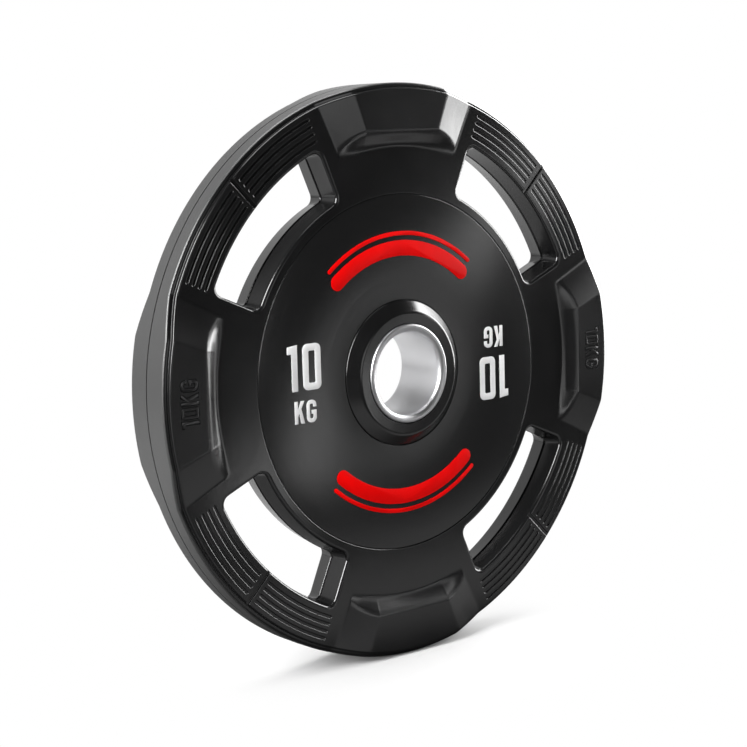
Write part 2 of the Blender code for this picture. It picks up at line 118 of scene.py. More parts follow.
# %% [markdown]
# ## Turned pieces
#
# Most of the plate is round, so the same recipe as on a lathe serves: draw half of the section,
# soften its corners, and turn it round the axis. In mesh code the section is a closed chain of
# edges. A vertex bevel rounds its corners one by one, and a full spin with merging closes the ring.
# Every piece is made lying flat, with its front side up, because heights are easier to read that
# way. A matrix then stands it up for the front or the rear of the plate.

# %% Section, round corners, spin
QUARTER = math.pi / 2
HALF_TURN = Matrix.Rotation(math.pi, 4, "Z")
STAND = Matrix.Rotation(QUARTER, 4, "X")
SIDES = {"front": STAND, "rear": HALF_TURN @ STAND}
MERGE_DISTANCE = 0.000002
SHARP_ANGLE = math.radians(35.0)


def closed_chain(bm, spots):
    """New vertices at the spots, and the edges that join them all the way round."""
    verts = [bm.verts.new(spot) for spot in spots]
    return verts, [bm.edges.new((verts[i - 1], verts[i])) for i in range(len(verts))]


def section(corners):
    """A section from (radius, height) corners; a rounding and its steps may follow the height."""
    bm = bmesh.new()
    verts = closed_chain(bm, [(corner[0], 0.0, corner[1]) for corner in corners])[0]
    for vert, corner in zip(verts, corners):
        if len(corner) > 2:
            rounding, steps = corner[2:]
            bmesh.ops.bevel(bm, geom=[vert], affect="VERTICES", offset=rounding, segments=steps,
                            profile=0.5, material=-1)
    return bm


def turned(corners, steps):
    """The section turned once round the upright axis."""
    bm = section(corners)
    bmesh.ops.spin(bm, geom=bm.verts[:] + bm.edges[:], cent=(0.0, 0.0, 0.0), axis=(0.0, 0.0, 1.0),
                   angle=math.tau, steps=steps, use_merge=True)
    bmesh.ops.remove_doubles(bm, verts=bm.verts, dist=MERGE_DISTANCE)
    bmesh.ops.recalc_face_normals(bm, faces=bm.faces)
    return bm


def finished(bm, name, matrix=Matrix()):
    """Makes the mesh an object at the origin, with its place in its mesh."""
    bm.transform(matrix)
    mesh = bpy.data.meshes.new(name)
    bm.to_mesh(mesh)
    bm.free()
    mesh.shade_smooth()
    mesh.set_sharp_from_angle(angle=SHARP_ANGLE)
    piece = bpy.data.objects.new(name, mesh)
    bpy.context.scene.collection.objects.link(piece)
    return piece


# %% [markdown]
# ## The cover's section
#
# Each rubber cover is a shell from the seam at the middle of the plate up to its face. From the hub
# outwards there is a flat collar ring, a cone, the seat of the printed disc, the wide face, a small
# step down to a shelf, and the outer edge of the rim. Moulded rubber has no knife edges, so nearly
# every corner gets its own rounding. The four raised pads need many rows just where their surfaces
# bend, so the face's section has close rows there and few rows elsewhere.

# %% Cover section
COLLAR_HEIGHT = 0.0190
SEAT_RADIUS = LIP_RADIUS + CLEARANCE
SEAT_HEIGHT = HUB_HALF_WIDTH - 0.0023
COLLAR_TOP_RADIUS = SEAT_RADIUS + 0.0071
COLLAR_FOOT_RADIUS = COLLAR_TOP_RADIUS + 0.0069
DISC_SEAT_RADIUS = DISC_RADIUS + CLEARANCE
DISC_SEAT_HEIGHT = FACE_HEIGHT - DISC_THICKNESS - CLEARANCE
BUSH_SEAT_RADIUS = LIP_RADIUS - 0.0020
STEP_RADIUS = 0.1738
SHELF_HEIGHT = FACE_HEIGHT - 0.0026
RIM_DRAFT = 0.0001
SEAM_RABBET = 0.0003
SEAM_DEPTH = 0.0008
PAD_RISE = PAD_HEIGHT - FACE_HEIGHT
PAD_TOP_RADIUS = STEP_RADIUS - 0.0265
PAD_FOOT_RADIUS = PAD_TOP_RADIUS - 0.0072
PAD_BEND = 0.0022
FOOT_LEAD = 0.0040
FACE_START_RADIUS = DISC_SEAT_RADIUS + 0.0010
FACE_END_RADIUS = STEP_RADIUS - 0.0012
FACE_ROWS = ((PAD_FOOT_RADIUS - FOOT_LEAD, 1), (PAD_FOOT_RADIUS - PAD_BEND, 2),
             (PAD_FOOT_RADIUS + PAD_BEND, 8), (PAD_TOP_RADIUS - PAD_BEND, 2),
             (PAD_TOP_RADIUS + PAD_BEND, 8), (FACE_END_RADIUS, 4))
TURN_STEPS = 360
print("face rows:", sum(count for end, count in FACE_ROWS))

# %% Roundings of the section's corners, each with its number of steps
SEAT_EDGE = (0.0004, 3)
COLLAR_EDGE = (0.0012, 6)
COLLAR_FOOT = (0.0004, 4)
DISC_SEAT_EDGE = (0.0006, 5)
STEP_EDGE = (0.0009, 6)
SHELF_CORNER = (0.0003, 3)
RIM_EDGE = (0.0019, 8)


def face_radii():
    """Radii of the face's rows, from the disc seat out to the step."""
    radii = []
    start = FACE_START_RADIUS
    for end, count in FACE_ROWS:
        radii += [start + (end - start) * (i + 1) / count for i in range(count)]
        start = end
    return radii


def cover_section():
    """From the seat of the bush up over the collar and the face, and down the rim to the seam."""
    corners = [(BUSH_SEAT_RADIUS, SEAT_HEIGHT), (SEAT_RADIUS, SEAT_HEIGHT),
               (SEAT_RADIUS, COLLAR_HEIGHT, *SEAT_EDGE),
               (COLLAR_TOP_RADIUS, COLLAR_HEIGHT, *COLLAR_EDGE),
               (COLLAR_FOOT_RADIUS, FACE_HEIGHT, *COLLAR_FOOT),
               (COLLAR_FOOT_RADIUS, DISC_SEAT_HEIGHT), (DISC_SEAT_RADIUS, DISC_SEAT_HEIGHT),
               (DISC_SEAT_RADIUS, FACE_HEIGHT, *DISC_SEAT_EDGE)]
    corners += [(radius, FACE_HEIGHT) for radius in face_radii()]
    seam_top = SEAM_HEIGHT + SEAM_RABBET
    corners += [(STEP_RADIUS, FACE_HEIGHT, *STEP_EDGE), (STEP_RADIUS, SHELF_HEIGHT, *SHELF_CORNER),
                (RIM_RADIUS - RIM_DRAFT, SHELF_HEIGHT, *RIM_EDGE),
                (RIM_RADIUS, seam_top), (RIM_RADIUS - SEAM_DEPTH, seam_top),
                (RIM_RADIUS - SEAM_DEPTH, SEAM_HEIGHT), (BUSH_SEAT_RADIUS, SEAM_HEIGHT)]
    return corners


print("cover section:", len(cover_section()), "corners")

# %% [markdown]
# ## The pads
#
# A raised pad stands at the top, bottom, left and right. Its flat top has a straight inner edge,
# its foot follows the disc, and its two sides are gentle ramps. Such shapes come out smoothest when
# the turned skin itself is bent: the columns of the ring slide along until they crowd at the
# creases, and each vertex is then lifted by a ramp whose ends are eased. The lift has no corners,
# so the rubber shows the soft creases of the real moulding.

# %% Sizes of a pad, and three ways to bend a number
PAD_PITCH = math.tau / 4
PAD_TOP_ANGLE = math.radians(12.1)
PAD_TOP_TAPER = math.radians(1.6)
PAD_FOOT_ANGLE = math.radians(20.3)
PAD_FOOT_TAPER = math.radians(1.2)
PAD_CORNER = 0.0040
RAMP_BEND = math.radians(0.50)
COLUMNS = (0, 8, 14, 18, 24, TURN_STEPS // 8)
PADS_FROM_RADIUS = DISC_SEAT_RADIUS + 0.0015
LIFT_FROM_HEIGHT = SEAM_HEIGHT + 0.0030
print("pads: %.1f mm high" % (1000 * PAD_RISE))


def clamped(value):
    return min(max(value, 0.0), 1.0)


def eased(value, soft):
    """Clamps value to 0..1, with a bend of half width soft instead of a corner at both ends."""
    if value > 0.5:
        return 1.0 - eased(1.0 - value, soft)
    if value < -soft:
        return 0.0
    if value < soft:
        return (value + soft) ** 2 / (4 * soft)
    return value


def along(value, old, new):
    """Carries a value from one row of stops to another."""
    for a, b, c, d in zip(old, old[1:], new, new[1:]):
        if value <= b:
            return c + (d - c) * (value - a) / (b - a)
    return new[-1]


# %% Slide the columns onto the creases and lift the pads
def ramp_place(column, top, foot):
    """The angle from the pad's middle that a column of the ring moves to."""
    stops = (0.0, top - RAMP_BEND, top + RAMP_BEND, foot - RAMP_BEND, foot + RAMP_BEND,
             PAD_PITCH / 2)
    return along(column, COLUMNS, stops)


def pad_row(radius, offset, slide):
    """Moves the rows round the top's inner edge, which is straight and drops at both ends."""
    if not PAD_FOOT_RADIUS < radius < FACE_END_RADIUS:
        return radius
    corner = PAD_FOOT_RADIUS + PAD_CORNER
    crest = PAD_TOP_RADIUS / math.cos(offset) * (1.0 - slide) + corner * slide
    return along(radius, (PAD_FOOT_RADIUS, PAD_TOP_RADIUS, FACE_END_RADIUS),
                 (PAD_FOOT_RADIUS, crest, FACE_END_RADIUS))


def raise_pads(bm):
    """Slides every vertex of the face and the rim to its place, and lifts it by the ramps."""
    column_turn = math.tau / TURN_STEPS
    ramp = PAD_FOOT_ANGLE - PAD_TOP_ANGLE
    slope = PAD_TOP_RADIUS - PAD_FOOT_RADIUS
    for vert in bm.verts:
        radius = vert.co.xy.length
        if radius < PADS_FROM_RADIUS:
            continue
        angle = math.atan2(vert.co.y, vert.co.x)
        pad = round(angle / PAD_PITCH) * PAD_PITCH
        column = abs(angle - pad) / column_turn
        inward = clamped((STEP_RADIUS - radius) / (STEP_RADIUS - PAD_TOP_RADIUS))
        top = PAD_TOP_ANGLE - PAD_TOP_TAPER * inward
        foot = PAD_FOOT_ANGLE - PAD_FOOT_TAPER * inward
        offset = ramp_place(column, top, foot)
        slide = clamped((offset - top) / (foot - top))
        lift = eased((foot - offset) / ramp, RAMP_BEND / ramp)
        if vert.co.z > DISC_SEAT_HEIGHT and radius < FACE_END_RADIUS:
            lift *= eased((radius - PAD_FOOT_RADIUS) / slope, PAD_BEND / slope)
            radius = pad_row(radius, offset, slide)
        turned_angle = pad + math.copysign(offset, angle - pad)
        vert.co.x = radius * math.cos(turned_angle)
        vert.co.y = radius * math.sin(turned_angle)
        if vert.co.z > LIFT_FROM_HEIGHT:
            vert.co.z += PAD_RISE * lift


# %% [markdown]
# ## Cutters for the windows, the grooves and the notch
#
# Four windows let the fingers round the rim. A window is cut by a body that is narrow at the seam,
# widens up the drafted wall, and flares round the upper edge: cutting with a flared body leaves a
# rounded lip behind. Such a body is a stack of outlines joined level by level with bridge_loops.
# The last level runs a little past the face, because a Boolean goes wrong where two faces lie in
# one plane.

# %% Sizes of the windows
DISC_LAND = 0.0042
GRIP_WIDTH = 0.0216
WINDOW_DRAFT = 0.0016
WINDOW_ROUND = 0.0022
WINDOW_SEAM = 0.0009
WINDOW_HALF_ANGLE = math.radians(20.8)
WINDOW_CORNER = 0.0037
WINDOW_LIP_STEPS = 7
WINDOW_FLARE = WINDOW_DRAFT + WINDOW_ROUND
WINDOW_INNER_RADIUS = DISC_SEAT_RADIUS + DISC_LAND + WINDOW_FLARE
WINDOW_OUTER_RADIUS = STEP_RADIUS - GRIP_WIDTH - WINDOW_FLARE
DIAGONALS = [PAD_PITCH * (i + 0.5) for i in range(4)]
OVERSHOOT = 0.0040
print("windows: %.1f mm wide" % (1000 * (WINDOW_OUTER_RADIUS - WINDOW_INNER_RADIUS)))

# %% Outlines from arcs
CENTRE = Vector((0.0, 0.0))


def polar(radius, angle):
    return Vector((radius * math.cos(angle), radius * math.sin(angle)))


def arc(centre, radius, start, end, steps):
    turn = (end - start) / steps
    return [centre + polar(radius, start + turn * i) for i in range(steps + 1)]


def window_outline(direction, spread, arc_steps=19, corner_steps=8):
    """A window's outline; spread widens it evenly on all sides."""
    inner = WINDOW_INNER_RADIUS - spread
    outer = WINDOW_OUTER_RADIUS + spread
    half = WINDOW_HALF_ANGLE + 2 * spread / (inner + outer)
    corner = WINDOW_CORNER + spread
    outer_turn = half - math.asin(corner / (outer - corner))
    inner_turn = half - math.asin(corner / (inner + corner))
    points = arc(CENTRE, outer, -outer_turn, outer_turn, arc_steps)
    points += arc(polar(outer - corner, outer_turn), corner, outer_turn, half + QUARTER,
                  corner_steps)[1:]
    points += arc(polar(inner + corner, inner_turn), corner, half + QUARTER, inner_turn + math.pi,
                  corner_steps)
    points += arc(CENTRE, inner, inner_turn, -inner_turn, arc_steps)[1:]
    points += arc(polar(inner + corner, -inner_turn), corner, math.pi - inner_turn,
                  3 * QUARTER - half, corner_steps)[1:]
    points += arc(polar(outer - corner, -outer_turn), corner, -QUARTER - half, -outer_turn,
                  corner_steps)[:-1]
    turn = Matrix.Rotation(direction, 2)
    return [turn @ point for point in points]


def slot_outline(radius, half_width, start, end, arc_steps=14, end_steps=8):
    """A slot along an arc round the plate's centre, with round ends."""
    outer = arc(CENTRE, radius + half_width, start, end, arc_steps)
    far_end = arc(polar(radius, end), half_width, end, end + math.pi, end_steps)
    inner = arc(CENTRE, radius - half_width, end, start, arc_steps)
    near_end = arc(polar(radius, start), half_width, start + math.pi, start + math.tau, end_steps)
    return outer + far_end[1:-1] + inner + near_end[1:-1]


# %% Loft the outlines
def level_loop(bm, points, height):
    """The edges of a flat outline at one height."""
    return closed_chain(bm, [(point.x, point.y, height) for point in points])[1]


def lofted(stacks):
    """Joins each stack of level outlines, given as (points, height), into one closed body."""
    bm = bmesh.new()
    for stack in stacks:
        loops = [level_loop(bm, points, height) for points, height in stack]
        for lower, upper in zip(loops, loops[1:]):
            bmesh.ops.bridge_loops(bm, edges=lower + upper)
        for end in (loops[0], loops[-1]):
            bmesh.ops.contextual_create(bm, geom=end)
    bmesh.ops.recalc_face_normals(bm, faces=bm.faces)
    return bm


def lip_levels(wall, lip, steps, run_on=1.2):
    """(spread, height) pairs from a wall's top round a lip to the face, and a little past it."""
    levels = []
    for i in range(steps):
        turn = QUARTER * i / steps
        levels.append((wall + lip * (1 - math.cos(turn)), FACE_HEIGHT - lip + lip * math.sin(turn)))
    spread, height = levels[-1]
    spread += run_on * (wall + lip - spread)
    height += run_on * (FACE_HEIGHT - height)
    return levels + [(spread, height), (spread, PAD_HEIGHT + OVERSHOOT)]


def window_stacks():
    """The four windows, each a little wider at the seam."""
    seam = SEAM_HEIGHT + WINDOW_SEAM
    levels = [(WINDOW_SEAM, -OVERSHOOT), (WINDOW_SEAM, SEAM_HEIGHT),
              (0.4 * WINDOW_SEAM, seam - 0.6 * WINDOW_SEAM), (0.0, seam)]
    levels += lip_levels(WINDOW_DRAFT, WINDOW_ROUND, WINDOW_LIP_STEPS)
    return [[(window_outline(direction, spread), height) for spread, height in levels]
            for direction in DIAGONALS]


# %% [markdown]
# Each grip carries four long grooves on either side of a narrow notch. A groove is a soft channel:
# a flat floor, sides that lean outwards, and a lip that is rounded over. The same levels serve for
# all of them, only the outline changes.

# %% Grooves and notch
GROOVE_COUNT = 4
GROOVE_HALF_WIDTH = 0.00128
GROOVE_DEPTH = 0.0009
GROOVE_MARGIN = 0.0038
GROOVE_HALF_SPAN = math.radians(22.0)
GROOVE_LIP = 0.00042
GROOVE_LIP_STEPS = 3
GROOVE_STEP_LAND = 0.0007
NOTCH_HALF_WIDTH = 0.0016
NOTCH_DEPTH = 0.0011
NOTCH_LAND = 0.0032
NOTCH_RUN_OUT = 0.0030
NOTCH_END_STEPS = 7
CHANNEL_SIDE = ((0.30, 1.00), (0.10, 0.92), (0.02, 0.75))


def channel_levels(half_width, depth):
    """(half width, height) pairs of a channel, from its floor up its sides and round its lip."""
    side = half_width - GROOVE_LIP
    levels = [(side - lean * depth, FACE_HEIGHT - down * depth) for lean, down in CHANNEL_SIDE]
    return levels + lip_levels(side, GROOVE_LIP, GROOVE_LIP_STEPS)


def groove_stacks():
    """Four grooves side by side on each half of each grip."""
    levels = channel_levels(GROOVE_HALF_WIDTH, GROOVE_DEPTH)
    first = WINDOW_OUTER_RADIUS + WINDOW_FLARE + GROOVE_MARGIN
    last = STEP_RADIUS - GROOVE_STEP_LAND - GROOVE_MARGIN
    stacks = []
    for direction in DIAGONALS:
        for i in range(GROOVE_COUNT):
            radius = first + (last - first) * i / (GROOVE_COUNT - 1)
            near = (NOTCH_LAND + GROOVE_HALF_WIDTH) / radius
            far = GROOVE_HALF_SPAN - GROOVE_HALF_WIDTH / radius
            for start, end in ((near, far), (-far, -near)):
                stacks.append([(slot_outline(radius, half, direction + start, direction + end),
                                height) for half, height in levels])
    return stacks


def notch_stacks():
    """One notch across the middle of each grip, from the window out over the step."""
    near = WINDOW_OUTER_RADIUS
    far = STEP_RADIUS + NOTCH_RUN_OUT
    stacks = []
    for direction in DIAGONALS:
        turn = Matrix.Rotation(direction, 2)
        stack = []
        for half, height in channel_levels(NOTCH_HALF_WIDTH, NOTCH_DEPTH):
            rounding = arc(Vector((far - half, 0.0)), half, -QUARTER, QUARTER, NOTCH_END_STEPS)
            outline = [Vector((near, -half)), *rounding, Vector((near, half))]
            stack.append(([turn @ point for point in outline], height))
        stacks.append(stack)
    return stacks


print("channels:", len(groove_stacks()), "grooves and", len(notch_stacks()), "notches")

# %% [markdown]
# ## Letters and figures
#
# A printed or raised mark is a flat outline with a thickness. An outline with a hole, like a zero,
# is two loops joined by bridge_loops, and a plain one is a single face. The face is extruded, and a
# tiny bevel takes the edge off. Each outline is drawn to a width, a height and a stroke, so that
# the same letter serves for the print on the discs and for the marks on the pads.

# %% A box with round corners, and a pen stroke
LEAST_MITRE = 0.5


def rounded_box(left, bottom, width, height, corner, steps=10):
    spots = ((width - corner, corner, -QUARTER), (width - corner, height - corner, 0.0),
             (corner, height - corner, QUARTER), (corner, corner, math.pi))
    points = []
    for x, y, start in spots:
        points += arc(Vector((left + x, bottom + y)), corner, start, start + QUARTER, steps)
    return points


def stroked(path, width):
    """The outline of a pen stroke of even width along a path."""
    sides = ([], [])
    for i, spot in enumerate(path):
        before = (spot - path[i - 1]).normalized() if i else None
        after = (path[i + 1] - spot).normalized() if i + 1 < len(path) else None
        heading = ((before or after) + (after or before)).normalized()
        reach = width / 2 / max(heading.dot(before or after), LEAST_MITRE)
        across = Vector((-heading.y, heading.x)) * reach
        sides[0].append(spot + across)
        sides[1].append(spot - across)
    return sides[0] + sides[1][::-1]


# %% Outlines of the four characters, in shares of their height and their stroke
def one_shape(width, height, stroke):
    left, flag = width - stroke, 0.81 * height
    spots = ((left, 0.0), (width, 0.0), (width, height), (0.0, 0.97 * height), (0.0, flag),
             (left, flag))
    return [[Vector(spot) for spot in spots]]


def zero_shape(width, height, stroke):
    return [rounded_box(0.0, 0.0, width, height, 0.85 * stroke),
            rounded_box(stroke, stroke, width - 2 * stroke, height - 2 * stroke, 0.22 * stroke)]


def k_shape(width, height, stroke):
    elbow = Vector((stroke, 0.32 * height))
    arm = Vector((width, height)) - elbow
    limb = 1.15 * stroke
    spots = ((0.0, 0.0), (stroke, 0.0), elbow, elbow + 0.22 * arm, (width - limb, 0.0),
             (width, 0.0), elbow + 0.50 * arm, (width, height), (width - limb, height),
             (stroke, 0.60 * height), (stroke, height), (0.0, height))
    return [[Vector(spot) for spot in spots]]


def g_shape(width, height, stroke, steps=8):
    left, right, low, high = stroke / 2, width - stroke / 2, stroke / 2, height - stroke / 2
    bend = (right - left) * 0.84 / 2
    path = [Vector((right, 0.68 * height))]
    path += arc(Vector((right - bend, high - bend)), bend, 0.0, QUARTER, steps)
    path += arc(Vector((left + bend, high - bend)), bend, QUARTER, math.pi, steps)[1:]
    path += arc(Vector((left + bend, low + bend)), bend, math.pi, 3 * QUARTER, steps)
    path += arc(Vector((right - bend, low + bend)), bend, 3 * QUARTER, math.tau, steps)[1:]
    path += [Vector((right, 0.46 * height)), Vector((width / 2, 0.46 * height))]
    return [stroked(path, stroke)]


CHARACTERS = {"one": one_shape, "zero": zero_shape, "k": k_shape, "g": g_shape}
print("characters:", *CHARACTERS)

# %% Give a flat outline its thickness
CORNER_ANGLE = 1.0
SOFT_STEPS = 2


def sheet_of(outlines, bottom, thickness, soft):
    """A flat piece with a soft upper edge, from an outline and perhaps the outline of its hole."""
    bm = bmesh.new()
    loops = [level_loop(bm, outline, bottom) for outline in outlines]
    if len(loops) == 1:
        faces = bmesh.ops.contextual_create(bm, geom=loops[0])["faces"]
    else:
        faces = bmesh.ops.bridge_loops(bm, edges=loops[0] + loops[1])["faces"]
    grown = bmesh.ops.extrude_face_region(bm, geom=faces)["geom"]
    upper = [part for part in grown if isinstance(part, bmesh.types.BMVert)]
    bmesh.ops.translate(bm, verts=upper, vec=(0.0, 0.0, thickness))
    bmesh.ops.remove_doubles(bm, verts=bm.verts, dist=MERGE_DISTANCE)
    bmesh.ops.recalc_face_normals(bm, faces=bm.faces)
    crest = bottom + thickness - MERGE_DISTANCE
    edges = [edge for edge in bm.edges if min(vert.co.z for vert in edge.verts) > crest
             and edge.calc_face_angle(0.0) > CORNER_ANGLE]
    if soft:
        bmesh.ops.bevel(bm, geom=edges, affect="EDGES", offset=soft, segments=SOFT_STEPS,
                        profile=0.5, material=-1)
    return bm


# %% [markdown]
# ## Raised marks in pockets
#
# The left and right pads carry the weight once more, as letters moulded in the rubber. Each letter
# stands in a shallow pocket a little wider than itself, and the narrow moat round it is what draws
# its thin dark outline. One function makes a row of letters, so the pockets are cut with the same
# letters in a slightly bolder size.

# %% A row of letters for a pad
MARK_HEIGHT = 0.0116
MARK_STROKE = 0.0017
MARK_RISE = 0.0001
MARK_MIDDLE = 0.1609
MARK_WIDTHS = {"one": 0.0036, "zero": 0.0064, "k": 0.0064, "g": 0.0064}
MARK_GAP = 0.0014
MARK_MOAT = 0.00050
MARK_SINK = 0.0001
MARK_SOFT = 0.00003
MARK_SPINS = {"left": 0.0, "right": math.pi}
POCKET_DEPTH = 0.0009


def mark_row(spin, grow, bottom, top, soft):
    """The four characters in a row that reads upwards, with their feet towards the hub."""
    length = sum(MARK_WIDTHS.values()) + MARK_GAP * (len(MARK_WIDTHS) - 1)
    whole = bmesh.new()
    start = -length / 2
    for name, width in MARK_WIDTHS.items():
        sizes = [size + 2 * grow for size in (width, MARK_HEIGHT, MARK_STROKE)]
        bm = sheet_of(CHARACTERS[name](*sizes), bottom, top - bottom, soft)
        bm.transform(Matrix.Translation((start - grow, -MARK_HEIGHT / 2 - grow, 0.0)))
        loose = bpy.data.meshes.new("character")
        bm.to_mesh(loose)
        bm.free()
        whole.from_mesh(loose)
        bpy.data.meshes.remove(loose)
        start += width + MARK_GAP
    upwards = Matrix.Translation((-MARK_MIDDLE, 0.0, 0.0)) @ Matrix.Rotation(QUARTER, 4, "Z")
    whole.transform(Matrix.Rotation(spin, 4, "Z") @ upwards)
    return whole


def mark_pocket(spin):
    """A cutter with the shape of a slightly bolder row."""
    return mark_row(spin, MARK_MOAT, PAD_HEIGHT - POCKET_DEPTH, PAD_HEIGHT + OVERSHOOT, 0.0)


# %% [markdown]
# ## The core's room
#
# The iron core can't be seen, but the covers really are hollow round it. The room is a turned body
# with the four windows taken out of it, so that a rubber lining stays round every window.

# %% Room for the core
WINDOW_LINING = 0.0036
CORE_EDGE = 0.0040
CORE_HALF_THICKNESS = 0.0077
CORE_HUB_RADIUS = 0.0366
CORE_HUB_SLOPE = 0.0060
CORE_STEPS = 72


def core_room_section():
    """The core's own section, wider by the clearance."""
    hub = CORE_HUB_RADIUS + CLEARANCE
    hub_top = CORE_HUB_HEIGHT + CLEARANCE
    top = CORE_HALF_THICKNESS + CLEARANCE
    rim = CORE_RADIUS + CLEARANCE
    inner = BUSH_SEAT_RADIUS - OVERSHOOT
    return [(inner, -OVERSHOOT), (inner, hub_top), (hub, hub_top), (hub + CORE_HUB_SLOPE, top),
            (rim - CORE_EDGE, top), (rim, top - CORE_EDGE), (rim, -OVERSHOOT)]


def core_room_windows():
    reach = CORE_HUB_HEIGHT + OVERSHOOT
    outlines = [window_outline(direction, WINDOW_LINING - CLEARANCE) for direction in DIAGONALS]
    return [[(outline, -reach), (outline, reach)] for outline in outlines]


print("core room: %.1f mm deep in each cover" % (1000 * (CORE_HUB_HEIGHT + CLEARANCE)))

# %% [markdown]
# ## Cutting and keeping the shading clean
#
# The Boolean modifier cuts the turned cover with each body in turn. The result is taken as a new
# mesh and the cutters are deleted. A Weighted Normal modifier goes last: a big flat face then keeps
# its own direction up to the lips, and reflections don't bend where a lip begins.

# %% Cut a piece, and keep its shading clean
FLAT = 0.99999
FLAT_EDGE = math.radians(0.5)


def cut(piece, *cutters):
    """Takes the cutters out of the piece, and deletes them."""
    for cutter in cutters:
        boolean = piece.modifiers.new("Cut", "BOOLEAN")
        boolean.operation = "DIFFERENCE"
        boolean.solver = "EXACT"
        boolean.object = cutter
    depsgraph = bpy.context.evaluated_depsgraph_get()
    mesh = bpy.data.meshes.new_from_object(piece.evaluated_get(depsgraph))
    piece.modifiers.clear()
    old = piece.data
    piece.data = mesh
    bpy.data.meshes.remove(old)
    for cutter in cutters:
        bpy.data.objects.remove(cutter)


def mark_flats(mesh):
    """Makes the edges round flat faces sharp, so that no lip beside them bends their shading."""
    bm = bmesh.new()
    bm.from_mesh(mesh)
    for edge in bm.edges:
        normals = [face.normal for face in edge.link_faces]
        if len(normals) == 2 and max(abs(normal.y) for normal in normals) > FLAT:
            edge.smooth = edge.smooth and normals[0].angle(normals[1], 0.0) < FLAT_EDGE
    bm.to_mesh(mesh)
    bm.free()


def clean_cover(piece, name):
    """Merges loose slivers from the cutting, and sets the shading."""
    bm = bmesh.new()
    bm.from_mesh(piece.data)
    bpy.data.objects.remove(piece)
    bmesh.ops.remove_doubles(bm, verts=bm.verts, dist=MERGE_DISTANCE / 2)
    cover = finished(bm, name)
    mark_flats(cover.data)
    weighted = cover.modifiers.new("Flat faces stay flat", "WEIGHTED_NORMAL")
    weighted.keep_sharp = True
    return cover


# %% The front cover, and the rear one as its copy turned round
def front_cover_piece():
    """The turned blank with its pads, less the core's room, windows, grooves and pockets."""
    bm = turned(cover_section(), TURN_STEPS)
    raise_pads(bm)
    blank = finished(bm, "cover blank")
    room = finished(turned(core_room_section(), CORE_STEPS), "core room")
    cut(room, finished(lofted(core_room_windows()), "core room windows"))
    cut(blank, finished(lofted(window_stacks()), "windows"), room)
    cut(blank, finished(lofted(groove_stacks()), "grooves"))
    cut(blank, finished(lofted(notch_stacks()), "notches"))
    cut(blank, *[finished(mark_pocket(spin), where + " pocket")
                 for where, spin in MARK_SPINS.items()])
    return blank


def place(piece, slot, *nodes):
    """Hangs the piece on the root body, and hides the nodes it stands for. The slot is not used."""
    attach(piece, "root")
    if nodes:
        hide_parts(*nodes)
    return piece


blank = front_cover_piece()
blank.data.transform(STAND)
front_cover = clean_cover(blank, "front_rubber_cover")
rear_cover = front_cover.copy()
rear_cover.data = front_cover.data.copy()
rear_cover.data.transform(HALF_TURN)
rear_cover.name = "rear_rubber_cover"
bpy.context.scene.collection.objects.link(rear_cover)
for side, cover in (("front", front_cover), ("rear", rear_cover)):
    place(cover, "black rubber", side + "_cover")
print("cover:", len(front_cover.data.polygons), "faces")

# %% Letters in the pockets
pad_marks = []
for side in SIDES:
    for where, spin in MARK_SPINS.items():
        row = mark_row(spin, 0.0, PAD_HEIGHT - POCKET_DEPTH - MARK_SINK, PAD_HEIGHT + MARK_RISE,
                       MARK_SOFT)
        mark = finished(row, f"{side}_{where}_pad_mark", SIDES[side])
        pad_marks.append(place(mark, "black rubber"))
print("pad marks:", len(pad_marks))

# %% [markdown]
# ## The face discs
#
# A thin black disc lies in a shallow seat in each cover, flush with the face. Its edge is rounded,
# because the two small roundings that meet at the seat catch the light as a fine bright circle.

# %% Discs
DISC_EDGE = (0.0005, 5)
DISC_STEPS = 240


def disc_section():
    inner = COLLAR_FOOT_RADIUS + CLEARANCE
    bottom = FACE_HEIGHT - DISC_THICKNESS
    return [(inner, bottom), (inner, FACE_HEIGHT, *DISC_EDGE),
            (DISC_RADIUS, FACE_HEIGHT, *DISC_EDGE), (DISC_RADIUS, bottom)]


discs = []
for side, stand in SIDES.items():
    disc = finished(turned(disc_section(), DISC_STEPS), side + "_face_disc", stand)
    discs.append(place(disc, "satin black disc", side + "_disc"))
print("discs:", len(discs), "of", len(discs[0].data.polygons), "faces")

# %% [markdown]
# ## The steel bush
#
# The bush is one turned and rolled piece of steel: a smooth bore that flares out at both ends into
# a narrow lip. Metal shows its shape almost only by reflections, so both curves get many steps.

# %% Bush
BORE_RADIUS = 0.0252
BUSH_RADIUS = BORE_RADIUS + 0.0031
LIP_UNDERSIDE = HUB_HALF_WIDTH - 0.0020
BORE_MOUTH = (0.0039, 12)
LIP_EDGE = (0.0014, 8)
LIP_UNDER_EDGE = (0.0002, 2)
BUSH_STEPS = 160


def bush_section():
    """One end of the bush, then the same end mirrored."""
    upper = [(BORE_RADIUS, HUB_HALF_WIDTH, *BORE_MOUTH), (LIP_RADIUS, HUB_HALF_WIDTH, *LIP_EDGE),
             (LIP_RADIUS, LIP_UNDERSIDE, *LIP_UNDER_EDGE), (BUSH_RADIUS, LIP_UNDERSIDE)]
    return upper + [(radius, -height, *edge) for radius, height, *edge in reversed(upper)]


bush = finished(turned(bush_section(), BUSH_STEPS), "flanged_steel_bush", STAND)
place(bush, "rolled steel", "steel_bush")
print("bush:", len(bush.data.polygons), "faces")

# %% [markdown]
# ## The printed marks
#
# The number and its unit stand on the left of each face, and once more on the right, turned by half
# a turn, so that one of them reads upright however the plate hangs. The boxes of the CAD nodes say
# where each character goes. At the top and bottom lie a wide and a fine red stripe.

# %% White figures
NUMBER_STROKE = 0.0042
UNIT_STROKE = 0.0023
PRINT_SOFT = 0.00004


